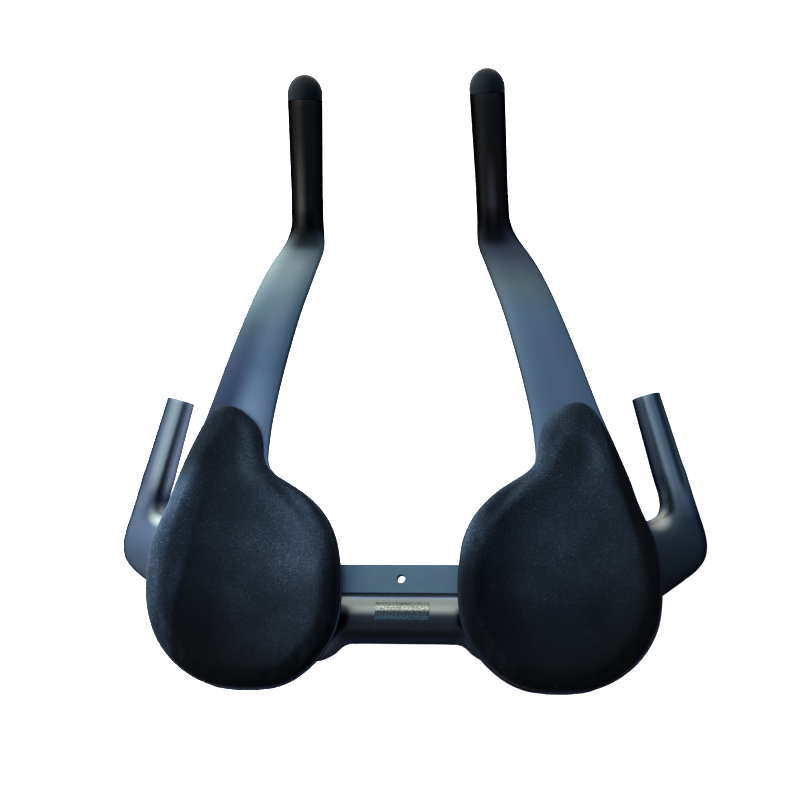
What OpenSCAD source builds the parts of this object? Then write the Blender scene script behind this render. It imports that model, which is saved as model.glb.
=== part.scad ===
// Time trial handlebar: a wing shaped base bar with two upturned arm rest
// extensions that stand on a flat bridge over the stem clamp.
// Origin: centre of the stem clamp tube. X to the rider's right, Y forward, Z up.

/* [Base bar] */
// Diameter of the round stem clamp section
clamp_d = 31.8; // [31.4:0.1:32.0]
// Wall of the hollow moulding
bar_wall = 2.6; // [2.2:0.1:3]
// Drop of the outer wing ends below the clamp axis
bar_drop = 24; // [20:1:28]
// Outer diameter of the base bar grips at the tip
bar_tip_d = 20.2; // [20:0.1:21.4]
// Outer diameter of the base bar grips where they leave the wing
bar_root_d = 23; // [22.6:0.1:23.4]
// Bore in the base bar grips that takes a brake lever plug
bar_bore_d = 17; // [15:0.5:17.5]

/* [Extensions] */
// Rise of the cups and blades per millimetre forward
ext_slope = 0.195; // [0.18:0.005:0.21]
// Thickness of the cup floor
cup_floor = 5; // [4.6:0.1:5.4]
// How far the cup rim stands above the middle of the cup
rim_rise = 5; // [3:0.5:6]
// Thickness of the blade between cup and grip
blade_t = 9.5; // [8.5:0.5:10.5]
// Outer diameter of the extension grip where it leaves the blade
ext_root_d = 21.4; // [21:0.1:21.8]
// Outer diameter of the extension grip at its tip
ext_tip_d = 23.2; // [22.6:0.1:23.6]
// Bore in the extension grip that takes a shifter or an end plug
ext_bore_d = 18.4; // [17:0.1:18.8]

/* [Arm pads] */
// Thickness of the foam pad in its middle
pad_t = 12; // [9:0.5:14]
// Thickness of the hook patches under the pad
hook_t = 1.5; // [1:0.1:1.6]

/* [Bridge and risers] */
// Width of the bridge plate, front to back
bridge_w = 20; // [18:0.2:21]
// Thickness of the bridge plate
bridge_t = 9; // [7:0.5:9]
// Height of the top of the bridge plate above the clamp axis
bridge_top = 28.4; // [28:0.1:28.6]
// Bevel along the top rear edge of the bridge plate
bridge_bevel = 1.5; // [0.5:0.5:2]
// Height of the plain riser spacer
spacer_h = 8; // [6:0.5:8]
// Distance of the inner riser bolt from the middle of the bar
bolt_x = 75; // [74:0.5:77]
// Spacing between the two riser bolts of a side
bolt_pitch = 24; // [22:0.5:24]
// Clearance hole for the riser bolts and for the middle of the bridge
hole_d = 5.5; // [5.3:0.1:5.8]

/* [Hidden] */
clamp_half = 33;
bolt_y = 23.5;
ref_z = 26.5;            // height of the blade's middle plane at Y = 0
tilt = atan(ext_slope);
boss_off = -0.2;         // underside of the cup's bolting face from that plane
bridge_z = bridge_top - bridge_t;
base_top = bridge_z - spacer_h;
seat_z = 32.9;           // washer seat in the cup
washer_t = 1;
carbon = [0.10, 0.11, 0.13];
metal = [0.08, 0.08, 0.09];

// ---- smooth curves through tables whose first column rises ----
function at(T, x, i = 0) = (i >= len(T) - 2 || x < T[i + 1][0]) ? i : at(T, x, i + 1);
function slope(T, i, k) = let(a = max(i - 1, 0), b = min(i + 1, len(T) - 1))
  (T[b][k] - T[a][k]) / (T[b][0] - T[a][0]);
function tab(T, x, k) = let(i = at(T, x), h = T[i + 1][0] - T[i][0], t = (x - T[i][0]) / h,
  a = slope(T, i, k) * h, b = slope(T, i + 1, k) * h, c = T[i][k], d = T[i + 1][k])
  c + t * (a + t * (3 * (d - c) - 2 * a - b + t * (2 * (c - d) + a + b)));
function unit(v) = v / norm(v);
function flat(L) = [for (a = L) each a];
function sgn(x) = x < 0 ? -1 : 1;
function spow(x, p) = sgn(x) * pow(abs(x), p);

// closed skin over rings whose points lie in top and bottom pairs j and m - j
module skin(R) {
  n = len(R);
  m = len(R[0]);
  e = (n - 1) * m;
  polyhedron(points = flat(R), faces = concat(
    [for (j = [0 : m / 2 - 1]) each j == 0 ? [[0, 1, m - 1]]
      : j == m / 2 - 1 ? [[j, j + 1, m - j]]
      : [[j, j + 1, m - j - 1], [j, m - j - 1, m - j]]],
    [for (i = [0 : n - 2]) for (j = [0 : m - 1])
      let(a = i * m + j, b = i * m + (j + 1) % m, c = a + m, d = b + m)
      each [[a, c, b], [b, c, d]]],
    [for (j = [0 : m / 2 - 1]) each j == 0 ? [[e, e + m - 1, e + 1]]
      : j == m / 2 - 1 ? [[e + j, e + m - j, e + j + 1]]
      : [[e + j, e + m - j - 1, e + j + 1], [e + j, e + m - j, e + m - j - 1]]]));
}
module along(p, d) { translate(p) rotate([0, acos(d[2] / norm(d)), atan2(d[1], d[0])]) children(); }
module left() { mirror([1, 0, 0]) children(); }
module slab(x0, x1, y0, y1, r) {
  translate([0, 0, 0]) {
    translate([x0 + r, y0]) square([x1 - x0 - 2 * r, y1 - y0]);
    translate([x0, y0 + r]) square([x1 - x0, y1 - y0 - 2 * r]);
    for (x = [x0 + r, x1 - r], y = [y0 + r, y1 - r]) translate([x, y]) circle(r, $fn = 48);
  }
}

// ---- base bar ----
// Right half of the wing, as pairs of points on the trailing and leading edge.
// distance along, trailing x y, leading x y, height, half thickness, fullness of the nose, tilt
cr = clamp_d / 2 + 0.2;
gr = bar_root_d / 2 + 0.12;
WING = [
  [0, 33, -cr, 33, cr, 0, cr, 0, 0],
  [3, 36, -cr, 36, cr, 0, cr, 0, 0],
  [8, 41, -18.2, 41, 19, -0.3, 15.3, 0.05, 0],
  [13, 46, -22.8, 46, 26, -0.8, 14.3, 0.15, 0],
  [21, 54, -26.8, 53, 33, -2, 13.1, 0.3, 0],
  [30, 63, -28, 61, 38.5, -3.6, 12.4, 0.4, 0],
  [45, 78, -26.8, 75, 45, -6.3, 11.9, 0.45, 0],
  [65, 98, -21.6, 95, 51.5, -10, 11.6, 0.45, 0],
  [90, 123, -12, 118, 58.5, -14, 11.2, 0.45, 0],
  [115, 147, 1.4, 140, 64.6, -17.8, 10.7, 0.45, 0],
  [135, 164, 12.8, 154, 68.8, -20.5, 10.3, 0.45, 0],
  [150, 178.4, 22.8, 163, 71.5, -22.2, 10.2, 0.45, 0],
  [163, 189.6, 30.9, 167.5, 73, -23.2, 10.2, 0.4, 0],
  [174, 198.8, 38.1, 171, 74.8, -23.8, 10.2, 0.33, 0],
  [183, 204.8, 45.8, 173.2, 76.6, -24, 10.2, 0.26, 0],
  [192, 207, 55, 174.6, 78.8, -24, 10.2, 0.2, 0],
  [202, 206, 65, 175.5, 81.5, -23.8, 10.4, 0.14, 1],
  [213, 203.3, 75.5, 175.8, 84.5, -23.2, 10.8, 0.08, 4],
  [225, 200.1, 87, 175.4, 88, -22.1, 11.2, 0.03, 8],
  [236, 197.2, 97.4, 174.6, 92.4, -20.6, gr, 0, 10.6],
  [247, 194.5, 107.1, 171.9, 101.1, -18.5, gr, 0, 10.8],
  [249, 194, 109, 171.4, 103, -18.1, gr, 0, 10.8]];
bar_grip_p = [183, 104, -18.46];
bar_grip_d = unit([-0.27, 1, 0.19]);
bar_grip_l = 58.8;
WN = 28;   // points round a wing ring
function wing_ring(s, w) =
  let(o = [tab(WING, s, 1), tab(WING, s, 2)], i = [tab(WING, s, 3), tab(WING, s, 4)],
      c = (o + i) / 2, e = unit(i - o), a = norm(i - o) / 2 - w,
      b = tab(WING, s, 6) - w, k = tab(WING, s, 7), q = tab(WING, s, 8),
      z = tab(WING, s, 5) * bar_drop / 24, f = [-e[1], e[0]] * (e[0] < 0 ? -1 : 1), N = 1 + 0.415 * k * k)
  [for (j = [0 : WN - 1]) let(t = j * 360 / WN, x = cos(t), h = b * sin(t) * (1 + k * x) / N)
    [c[0] + e[0] * a * x - f[0] * h * sin(q), c[1] + e[1] * a * x - f[1] * h * sin(q), z + h * cos(q)]];
WS = [0, 1.5, 5, 8, 11, 14, 18, 24, 32, 45, 65, 90, 115, 135, 150, 163, 172, 180, 187, 195, 203, 211, 220, 230, 240, 247, 248];
module wing(w = 0, s0 = 0, s1 = 248) {
  skin([for (s = WS) if (s >= s0 && s <= s1) wing_ring(s, w)]);
}
module bar_half() {
  wing();
  along(bar_grip_p - bar_grip_d * 0.5, bar_grip_d) bar_grip();
}
module bar_grip() {
  l = bar_grip_l;
  rotate_extrude($fn = 64) polygon([[0, 0], [bar_root_d / 2, 0], [bar_tip_d / 2, l - 1], [bar_tip_d / 2 - 1, l], [0, l]]);
}
module bar_half_cavity() {
  difference() {
    skin(concat([clamp_ring(30)], [clamp_ring(33)],
      [for (s = WS) if (s > 5 && s <= 240) wing_ring(s, bar_wall + (s > 220 ? (s - 220) * 0.07 : 0))]));
    for (i = [0, 1]) at_bolt(i) translate([0, 0, -60]) cylinder(r = 8, h = 80, $fn = 48);
  }
  along(bar_grip_p - bar_grip_d * 6, bar_grip_d) cylinder(d = bar_bore_d, h = 80, $fn = 64);
}
function clamp_ring(x) = let(r = clamp_d / 2 - bar_wall - 0.9)
  [for (j = [0 : WN - 1]) let(t = j * 360 / WN) [x, r * cos(t), r * sin(t)]];
module at_bolt(i) { translate([bolt_x + i * bolt_pitch, bolt_y, 0]) children(); }
function insert_z(i) = tab(WING, bolt_x + i * bolt_pitch - 33, 5) * bar_drop / 24 + 1;
insert_l = 9;
module insert_holes() {
  for (i = [0, 1]) at_bolt(i) translate([0, 0, insert_z(i)]) cylinder(d = 8, h = 30, $fn = 48);
}
module base_bar() {
  color(carbon) difference() {
    union() {
      translate([-clamp_half - 1, 0, 0]) rotate([0, 90, 0]) cylinder(d = clamp_d, h = 2 * clamp_half + 2, $fn = 96);
      bar_half();
      left() bar_half();
    }
    translate([-clamp_half, 0, 0]) rotate([0, 90, 0]) cylinder(r = clamp_d / 2 - bar_wall, h = 2 * clamp_half, $fn = 96);
    bar_half_cavity();
    left() bar_half_cavity();
    insert_holes();
    left() insert_holes();
  }
}

// ---- extensions: cup, blade and upturned grip in one moulding ----
// y, inner x, outer x, height of the middle over the reference plane,
// half thickness, rise of the rims, squareness, tilt
EXT = [
  [-48.6, 92, 108, 6.6, 1.2, 0.4, 3, 0],
  [-47.6, 83, 117, 5.9, 1.7, 1.1, 3.2, 0],
  [-45.5, 75.5, 124, 5, 2.1, 1.9, 3.6, 0],
  [-42, 68, 133, 4.1, 2.3, 2.7, 4, 0],
  [-37, 60.8, 141.6, 3.4, 2.45, 3.5, 4, 0],
  [-30, 53.2, 150.2, 2.9, 2.5, 4.2, 4, 0],
  [-20, 45.6, 158.2, 2.6, 2.5, 4.8, 4, 0],
  [-8, 40.2, 164, 2.5, 2.5, 5, 4, 0],
  [6, 37.8, 166.6, 2.5, 2.5, 5, 4, 0],
  [20, 37.4, 167, 2.5, 2.5, 5, 4, 0],
  [34, 38.6, 165.9, 2.5, 2.5, 5, 4, 0],
  [46, 40.8, 163.1, 2.5, 2.5, 5, 4, 0],
  [56, 44.8, 159.1, 2.5, 2.5, 4.6, 4, 0],
  [64, 49.8, 155.6, 2.45, 2.6, 4, 4, 0],
  [71, 56.2, 153, 2.3, 2.8, 3.3, 4, 0],
  [77, 63.6, 151.1, 2.1, 3, 2.7, 4, 0],
  [82, 71.4, 149.6, 1.9, 3.2, 2.2, 4, 0],
  [86, 78.2, 148.2, 1.7, 3.4, 1.8, 4, 0],
  [90, 83.6, 146.7, 1.4, 3.7, 1.4, 4, 0],
  [95, 87.2, 144.8, 1.1, 4, 1, 3.9, 0],
  [100, 88.3, 142.8, 0.8, 4.3, 0.7, 3.8, 0],
  [110, 87.8, 138.8, 0.4, 4.7, 0.2, 3.6, 0],
  [125, 85.9, 132.4, 0.25, 4.75, 0, 3.5, 0],
  [145, 81.8, 124.9, 0.25, 4.75, 0, 3.5, 0],
  [165, 76.9, 117.6, 0.25, 4.75, 0, 3.5, 1],
  [185, 71.4, 109.8, 0.25, 4.75, 0, 3.4, 2],
  [200, 66.7, 103.7, 0.25, 4.75, 0, 3.3, 4],
  [213, 62, 97.9, 0.25, 4.8, 0, 3.1, 6],
  [224, 57.9, 92.3, 0.3, 4.9, 0, 2.9, 9],
  [233, 54.3, 86.7, 0.6, 5.2, 0, 2.6, 13],
  [240, 51.9, 81.4, 1.5, 6.2, 0, 2.3, 19],
  [247, 51.4, 76.4, 4.4, 8, 0, 2.1, 26],
  [254, 51.5, 73.6, 7.9, 9.7, 0, 2, 31],
  [261, 51.3, 73, 11.3, 10.8, 0, 2, 33.7],
  [264, 51.2, 72.9, 12.75, 10.8, 0, 2, 33.7]];
ext_grip_d = unit([-0.0415, 1, 0.668]);
ext_grip_p = [62.06, 262, 89.35];
ext_grip_l = 72;
EN = 32;
function ref(y) = ref_z + ext_slope * y;
// rim factor: 0 in the middle, 1 at the edge
function rim(u) = pow(abs(u), 4);
function ext_ring(y) =
  let(xi = tab(EXT, y, 1), xo = tab(EXT, y, 2), c = (xi + xo) / 2, a = (xo - xi) / 2,
      m = ref(y) + tab(EXT, y, 3) - (cup_floor - 5) / 2 * (y < 95 ? 1 : 0),
      b = tab(EXT, y, 4) * (y < 110 ? cup_floor / 5 : blade_t / 9.5),
      r = tab(EXT, y, 5) * rim_rise / 5, p = 2 / tab(EXT, y, 6), q = tab(EXT, y, 7))
  [for (j = [0 : EN - 1]) let(t = j * 360 / EN, x = -spow(cos(t), p), h = b * spow(sin(t), p) + r * rim(x))
    [c + a * x, y - h * sin(q), m + h * cos(q)]];
EY = [-48.6, -48, -46.8, -45, -42, -38, -32, -24, -12, 4, 20, 36, 48, 58, 66, 72, 77, 82, 86, 90, 95, 101, 110, 125, 150, 175, 200, 218, 229, 237, 243, 249, 255, 261, 262.5];
module ext_shell() { skin([for (y = EY) ext_ring(y)]); }
module ext_grip() {
  l = ext_grip_l;
  rotate_extrude($fn = 64) polygon([[0, 0], [ext_root_d / 2 - 0.15, 0], [ext_tip_d / 2, l], [0, l]]);
}
// frame of the cup floor: origin above the stem clamp, Z square to the floor
module floor_frame() { translate([0, bolt_y, ref(bolt_y)]) rotate([tilt, 0, 0]) children(); }
module ext_boss() {
  floor_frame() translate([0, 0, boss_off]) linear_extrude(3.4) slab(bolt_x - 12, bolt_x + bolt_pitch + 12, -12, 11, 8);
}
module extension() {
  color(carbon) difference() {
    union() {
      ext_shell();
      ext_boss();
      along(ext_grip_p - ext_grip_d * 0.4, ext_grip_d) ext_grip();
    }
    along(ext_grip_p + ext_grip_d * 20, ext_grip_d) cylinder(d = ext_bore_d, h = 90, $fn = 64);
    along(ext_grip_p - ext_grip_d * 60, ext_grip_d) cylinder(d = 7, h = 90, $fn = 48);
    for (i = [0, 1]) at_bolt(i) {
      translate([0, 0, 10]) cylinder(d = hole_d, h = 40, $fn = 48);
      translate([0, 0, seat_z]) cylinder(d = 10.8, h = 20, $fn = 48);
    }
  }
}
module end_plug() {
  r = ext_tip_d / 2;
  k = ext_bore_d / 2 - 0.05;
  color([0.05, 0.05, 0.06]) along(ext_grip_p + ext_grip_d * (ext_grip_l - 0.4), ext_grip_d)
    rotate_extrude($fn = 64) polygon(concat(
      [[0, -16], [k - 1.5, -16], [k, -14], [k, 0], [r, 0], [r, 3]],
      [for (t = [9 : 9 : 81]) [r * cos(t), 3 + 13 * sin(t)]], [[0, 16]]));
}

// ---- arm pads ----
// y, inner x, outer x of the pad's outline
PAD = [
  [-47, 93, 106], [-46.2, 84, 115.5], [-44.4, 76, 124.8], [-41, 68.6, 133], [-36, 61.4, 141],
  [-29, 54, 148.9], [-19, 46.8, 156.8], [-7, 41.6, 162.6], [6, 39.1, 165.3], [20, 38.7, 165.7],
  [34, 39.9, 164.5], [46, 42.2, 161.7], [56, 46.2, 157.7], [64, 51.2, 154.2], [71, 57.6, 151.6],
  [77, 64.9, 149.6], [82, 72.6, 148], [86, 79.4, 146.5], [90, 84.8, 144.9], [95, 88.4, 143],
  [100, 89.6, 140.9], [108, 90, 137.2], [114, 91.2, 134.2], [120, 94.4, 131], [126, 100.4, 127.2],
  [130.4, 106.6, 123], [132.6, 112.2, 118.6]];
PN = 24;
function floor_off(y) = tab(EXT, y, 3) + tab(EXT, y, 4);
function pad_ring(y) =
  let(xi = tab(PAD, y, 1), xo = tab(PAD, y, 2), c = (xi + xo) / 2, a = (xo - xi) / 2,
      ci = tab(EXT, y, 1), co = tab(EXT, y, 2), cc = (ci + co) / 2, ca = (co - ci) / 2,
      e = min(1, (y + 47.6) / 12, (134 - y) / 12), tt = pad_t * (0.45 + 0.55 * sqrt(max(0, 1 - pow(1 - e, 2)))))
  [for (j = [0 : PN - 1]) let(t = j * 360 / PN, x = -spow(cos(t), 0.6), X = c + a * x,
      d = ref(y) + floor_off(y) + hook_t + tab(EXT, y, 5) * rim_rise / 5 * rim(min(1, abs(X - cc) / ca)),
      h = sin(t) >= -0.001 ? tt * (0.4 + 0.6 * pow(abs(sin(t)), 1)) : tt * 0.4 * (1 - pow(abs(sin(t)), 0.6)))
    [X, y, d + h]];
PY = [-47, -46.2, -44.4, -41, -36, -29, -16, 2, 20, 38, 52, 63, 72, 80, 86, 91, 96, 103, 112, 120, 126, 130.4, 132.6];
module arm_pad() { color([0.06, 0.07, 0.10]) skin([for (y = PY) pad_ring(y)]); }
module hook_patches() {
  color([0.05, 0.05, 0.06]) floor_frame() for (P = [[76, 128, -44, -20], [76, 132, 18, 40]])
    translate([0, 0, 5.35]) linear_extrude(1) slab(P[0], P[1], P[2], P[3], 4);
}

// ---- bridge, risers and fasteners ----
module bridge_plate() {
  y1 = bolt_y + 9.3;
  y0 = y1 - bridge_w;
  b = bridge_bevel;
  color(metal) difference() {
    intersection() {
      linear_extrude(60) slab(-112, 112, y0, y1, 6);
      translate([-150, 0, 0]) rotate([90, 0, 90]) linear_extrude(300)
        polygon([[y0, bridge_z], [y1, bridge_z], [y1, bridge_top - 0.4], [y1 - 0.4, bridge_top], [y0 + b, bridge_top], [y0, bridge_top - b]]);
    }
    translate([0, bolt_y, 0]) cylinder(d = hole_d, h = 60, $fn = 48);
    for (s = [-1, 1], i = [0, 1]) translate([s * (bolt_x + i * bolt_pitch), bolt_y, 0]) cylinder(d = hole_d, h = 60, $fn = 48);
  }
}
module riser_plan() {
  difference() {
    slab(bolt_x - 11, bolt_x + bolt_pitch + 11, bolt_y - 9.2, bolt_y + 9.2, 8);
    for (i = [0, 1]) translate([bolt_x + i * bolt_pitch, bolt_y]) circle(d = hole_d, $fn = 48);
  }
}
module riser_base() {
  color(metal) difference() {
    translate([0, 0, -12]) linear_extrude(12 + base_top) riser_plan();
    wing(0, 14, 100);
    translate([0, 0, -60]) linear_extrude(53) slab(20, 150, -30, 90, 4);
  }
}
module riser_spacer() {
  color(metal) translate([0, 0, base_top]) linear_extrude(spacer_h) riser_plan();
}
// fills the wedge between the level bridge and the tilted cup
module tilt_wedge() {
  y0 = bolt_y - 10;
  y1 = bolt_y + 14;
  off = boss_off / cos(tilt);
  color(metal) intersection() {
    linear_extrude(60) riser_plan();
    translate([bolt_x - 20, 0, 0]) rotate([90, 0, 90]) linear_extrude(bolt_pitch + 40)
      polygon([[y0, bridge_top], [y1, bridge_top], [y1, ref(y1) + off], [y0, max(bridge_top + 0.1, ref(y0) + off)]]);
  }
}
module riser_bolts() {
  color([0.12, 0.12, 0.13]) for (i = [0, 1]) at_bolt(i) translate([0, 0, seat_z + washer_t]) {
    l = seat_z + washer_t - (insert_z(i) + 1.5);
    difference() {
      union() {
        translate([0, 0, -l]) cylinder(d = 4.9, h = l + 1, $fn = 48);
        rotate_extrude($fn = 48) polygon([[0, 0], [4.75, 0], [4.75, 0.8], [4.3, 1.7], [3.4, 2.4], [2.4, 2.7], [0, 2.7]]);
      }
      translate([0, 0, 1]) cylinder(d = 3 / cos(30), h = 3, $fn = 6);
    }
  }
}
module bolt_washers() {
  color([0.6, 0.6, 0.62]) for (i = [0, 1]) at_bolt(i) translate([0, 0, seat_z]) difference() {
    cylinder(d = 10, h = washer_t, $fn = 48);
    translate([0, 0, -1]) cylinder(d = 5.3, h = 3, $fn = 48);
  }
}
module bar_inserts() {
  color([0.65, 0.6, 0.45]) for (i = [0, 1]) at_bolt(i) translate([0, 0, insert_z(i)]) difference() {
    cylinder(d = 8, h = insert_l, $fn = 48);
    translate([0, 0, 1]) cylinder(d = 5, h = insert_l, $fn = 48);
  }
}

base_bar();
left() extension();  // left_extension
extension();  // right_extension
left() arm_pad();  // left_arm_pad
arm_pad();  // right_arm_pad
left() hook_patches();  // left_pad_hook_patches
hook_patches();  // right_pad_hook_patches
left() end_plug();  // left_end_plug
end_plug();  // right_end_plug
bridge_plate();
left() riser_base();  // left_riser_base
riser_base();  // right_riser_base
left() riser_spacer();  // left_riser_spacer
riser_spacer();  // right_riser_spacer
left() tilt_wedge();  // left_tilt_wedge
tilt_wedge();  // right_tilt_wedge
left() riser_bolts();  // left_riser_bolts
riser_bolts();  // right_riser_bolts
left() bolt_washers();  // left_bolt_washers
bolt_washers();  // right_bolt_washers
left() bar_inserts();  // left_bar_inserts
bar_inserts();  // right_bar_inserts
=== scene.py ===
import math

import bmesh
import bpy
import numpy as np
from mathutils import Matrix, Vector
from mathutils.geometry import delaunay_2d_cdt


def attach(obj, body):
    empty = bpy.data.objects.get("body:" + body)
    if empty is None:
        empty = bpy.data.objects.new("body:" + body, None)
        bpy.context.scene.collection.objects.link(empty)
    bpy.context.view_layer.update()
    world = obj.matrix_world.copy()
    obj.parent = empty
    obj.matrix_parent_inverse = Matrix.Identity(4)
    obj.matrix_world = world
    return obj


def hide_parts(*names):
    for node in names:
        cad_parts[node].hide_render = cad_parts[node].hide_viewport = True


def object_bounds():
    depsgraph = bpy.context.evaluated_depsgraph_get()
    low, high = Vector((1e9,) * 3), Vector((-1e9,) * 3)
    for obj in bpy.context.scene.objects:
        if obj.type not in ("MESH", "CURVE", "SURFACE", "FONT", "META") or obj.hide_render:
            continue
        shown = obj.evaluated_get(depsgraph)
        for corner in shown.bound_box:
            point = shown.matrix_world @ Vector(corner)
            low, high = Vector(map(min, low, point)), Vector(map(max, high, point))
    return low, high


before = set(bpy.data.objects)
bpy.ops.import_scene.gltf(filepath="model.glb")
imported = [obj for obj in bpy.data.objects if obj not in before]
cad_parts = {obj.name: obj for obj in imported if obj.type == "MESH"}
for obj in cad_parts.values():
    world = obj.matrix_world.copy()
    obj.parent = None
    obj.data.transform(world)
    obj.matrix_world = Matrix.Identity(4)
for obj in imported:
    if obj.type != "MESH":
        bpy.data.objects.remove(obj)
CAD_BOX = [list(v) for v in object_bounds()]
SCENE = bpy.context.scene
MM = 0.001


# ---------------------------------------------------------------- curves
def tab(T, x, k):
    """Smooth curve through column k of a table whose first column rises."""
    i = 0
    while i < len(T) - 2 and x >= T[i + 1][0]:
        i += 1
    n = len(T)

    def slope(j):
        a, b = max(j - 1, 0), min(j + 1, n - 1)
        return (T[b][k] - T[a][k]) / (T[b][0] - T[a][0])

    h = T[i + 1][0] - T[i][0]
    t = (x - T[i][0]) / h
    a, b, c, d = slope(i) * h, slope(i + 1) * h, T[i][k], T[i + 1][k]
    return c + t * (a + t * (3 * (d - c) - 2 * a - b + t * (2 * (c - d) + a + b)))


def spow(x, p):
    return np.sign(x) * np.abs(x) ** p


def smooth(x):
    x = np.clip(x, 0.0, 1.0)
    return x * x * (3 - 2 * x)


def unit(v):
    v = np.array(v, float)
    return v / np.linalg.norm(v)


def stations(*spans):
    """Stations from spans of (start, end, step), each end shared with the next start."""
    out = []
    for a, b, st in spans:
        n = max(1, int(round((b - a) / st)))
        out += [a + (b - a) * i / n for i in range(n)]
    out.append(spans[-1][1])
    return out


# ---------------------------------------------------------------- meshes
def make_object(name, verts_mm, faces, angle=None):
    me = bpy.data.meshes.new(name)
    me.from_pydata([tuple(float(c) * MM for c in v) for v in verts_mm], [], [tuple(f) for f in faces])
    me.validate()
    bm = bmesh.new()
    bm.from_mesh(me)
    bmesh.ops.recalc_face_normals(bm, faces=bm.faces)
    for f in bm.faces:
        f.smooth = True
    if angle:
        lim = math.radians(angle)
        for e in bm.edges:
            if len(e.link_faces) == 2 and e.calc_face_angle(0) > lim:
                e.smooth = False
    bm.to_mesh(me)
    bm.free()
    me.update()
    ob = bpy.data.objects.new(name, me)
    SCENE.collection.objects.link(ob)
    return ob


def ring_faces(n, m, base=0, cap0=True, cap1=True):
    F = []
    for i in range(n - 1):
        a = base + i * m
        for j in range(m):
            k = (j + 1) % m
            F.append((a + j, a + k, a + m + k, a + m + j))
    if cap0:
        F.append(tuple(base + j for j in range(m - 1, -1, -1)))
    if cap1:
        F.append(tuple(base + (n - 1) * m + j for j in range(m)))
    return F


def mirrored(V):
    W = np.array(V, float)
    W[:, 0] *= -1
    return W


# ---------------------------------------------------------------- base bar
CR, GR = 16.1, 11.62
WING = [
    [0, 33, -CR, 33, CR, 0, CR, 0, 0],
    [3, 36, -CR, 36, CR, 0, CR, 0, 0],
    [8, 41, -18.2, 41, 19, -0.3, 15.3, 0.05, 0],
    [13, 46, -22.8, 46, 26, -0.8, 14.3, 0.15, 0],
    [21, 54, -26.8, 53, 33, -2, 13.1, 0.3, 0],
    [30, 63, -28, 61, 38.5, -3.6, 12.4, 0.4, 0],
    [45, 78, -26.8, 75, 45, -6.3, 11.9, 0.45, 0],
    [65, 98, -21.6, 95, 51.5, -10, 11.6, 0.45, 0],
    [90, 123, -12, 118, 58.5, -14, 11.2, 0.45, 0],
    [115, 147, 1.4, 140, 64.6, -17.8, 10.7, 0.45, 0],
    [135, 164, 12.8, 154, 68.8, -20.5, 10.3, 0.45, 0],
    [150, 178.4, 22.8, 163, 71.5, -22.2, 10.2, 0.45, 0],
    [163, 189.6, 30.9, 167.5, 73, -23.2, 10.2, 0.4, 0],
    [174, 198.8, 38.1, 171, 74.8, -23.8, 10.2, 0.33, 0],
    [183, 204.8, 45.8, 173.2, 76.6, -24, 10.2, 0.26, 0],
    [192, 207, 55, 174.6, 78.8, -24, 10.2, 0.2, 0],
    [202, 206, 65, 175.5, 81.5, -23.8, 10.4, 0.14, 1],
    [213, 203.3, 75.5, 175.8, 84.5, -23.2, 10.8, 0.08, 4],
    [225, 200.1, 87, 175.4, 88, -22.1, 11.2, 0.03, 8],
    [236, 197.2, 97.4, 174.6, 92.4, -20.6, GR, 0, 10.6],
    [247, 194.5, 107.1, 171.9, 101.1, -18.5, GR, 0, 10.8],
    [249, 194, 109, 171.4, 103, -18.1, GR, 0, 10.8]]
BAR_P = np.array([183, 104, -18.46])
BAR_D = unit([-0.27, 1, 0.19])
BAR_L = 58.8
BM = 180
BT = np.arange(BM) * 2 * np.pi / BM


def wing_ring(s):
    g = [tab(WING, s, k) for k in range(1, 9)]
    o, i = np.array(g[0:2]), np.array(g[2:4])
    z, b, k, q = g[4], g[5], g[6], math.radians(g[7])
    c = (o + i) / 2
    e = unit(i - o)
    a = np.linalg.norm(i - o) / 2
    f = np.array([-e[1], e[0]]) * (-1 if e[0] < 0 else 1)
    x = np.cos(BT)
    h = b * np.sin(BT) * (1 + k * x) / (1 + 0.415 * k * k)
    return np.stack([c[0] + e[0] * a * x - f[0] * h * math.sin(q),
                     c[1] + e[1] * a * x - f[1] * h * math.sin(q),
                     z + h * math.cos(q)], 1)


def centre_ring(x):
    r = 15.9 + 0.2 * float(smooth((x - 27) / 6))
    return np.stack([np.full(BM, x), r * np.cos(BT), r * np.sin(BT)], 1)


def bar_grip_ring(l, r):
    """Ring round the grip axis; l is measured from where the round grip starts."""
    c = BAR_P + BAR_D * (l - 0.5)
    e = unit(np.array([-22.6, -6.0, 0.0]) - BAR_D * np.dot([-22.6, -6.0, 0.0], BAR_D))
    u = np.cross(BAR_D, e)
    if u[2] < 0:
        u = -u
    return c + np.outer(np.cos(BT), e) * r + np.outer(np.sin(BT), u) * r


def bar_rings():
    R = [centre_ring(x) for x in stations((0, 18, 0.6), (18, 19, 0.5), (19, 33, 2.0))]
    R += [wing_ring(s) for s in stations((1.5, 9, 1.5), (9, 30, 1.75), (30, 150, 4.0), (150, 236, 2.0), (236, 246, 2.0))]
    L = BAR_L
    cone = lambda l: 11.5 + (10.1 - 11.5) * l / (L - 1)
    R += [bar_grip_ring(l, cone(l) + 0.12 * float(1 - smooth(l / 10))) for l in stations((5, L - 1, 3.2))]
    R += [bar_grip_ring(l, r) for l, r in [(L - 0.62, 9.98), (L - 0.3, 9.74), (L - 0.08, 9.38), (L, 9.0), (L - 0.05, 8.72),
                                           (L - 0.25, 8.53), (L - 0.6, 8.5), (L - 6, 8.5), (L - 20, 8.5), (L - 40, 8.5), (L - 64, 8.5)]]
    return R


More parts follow.
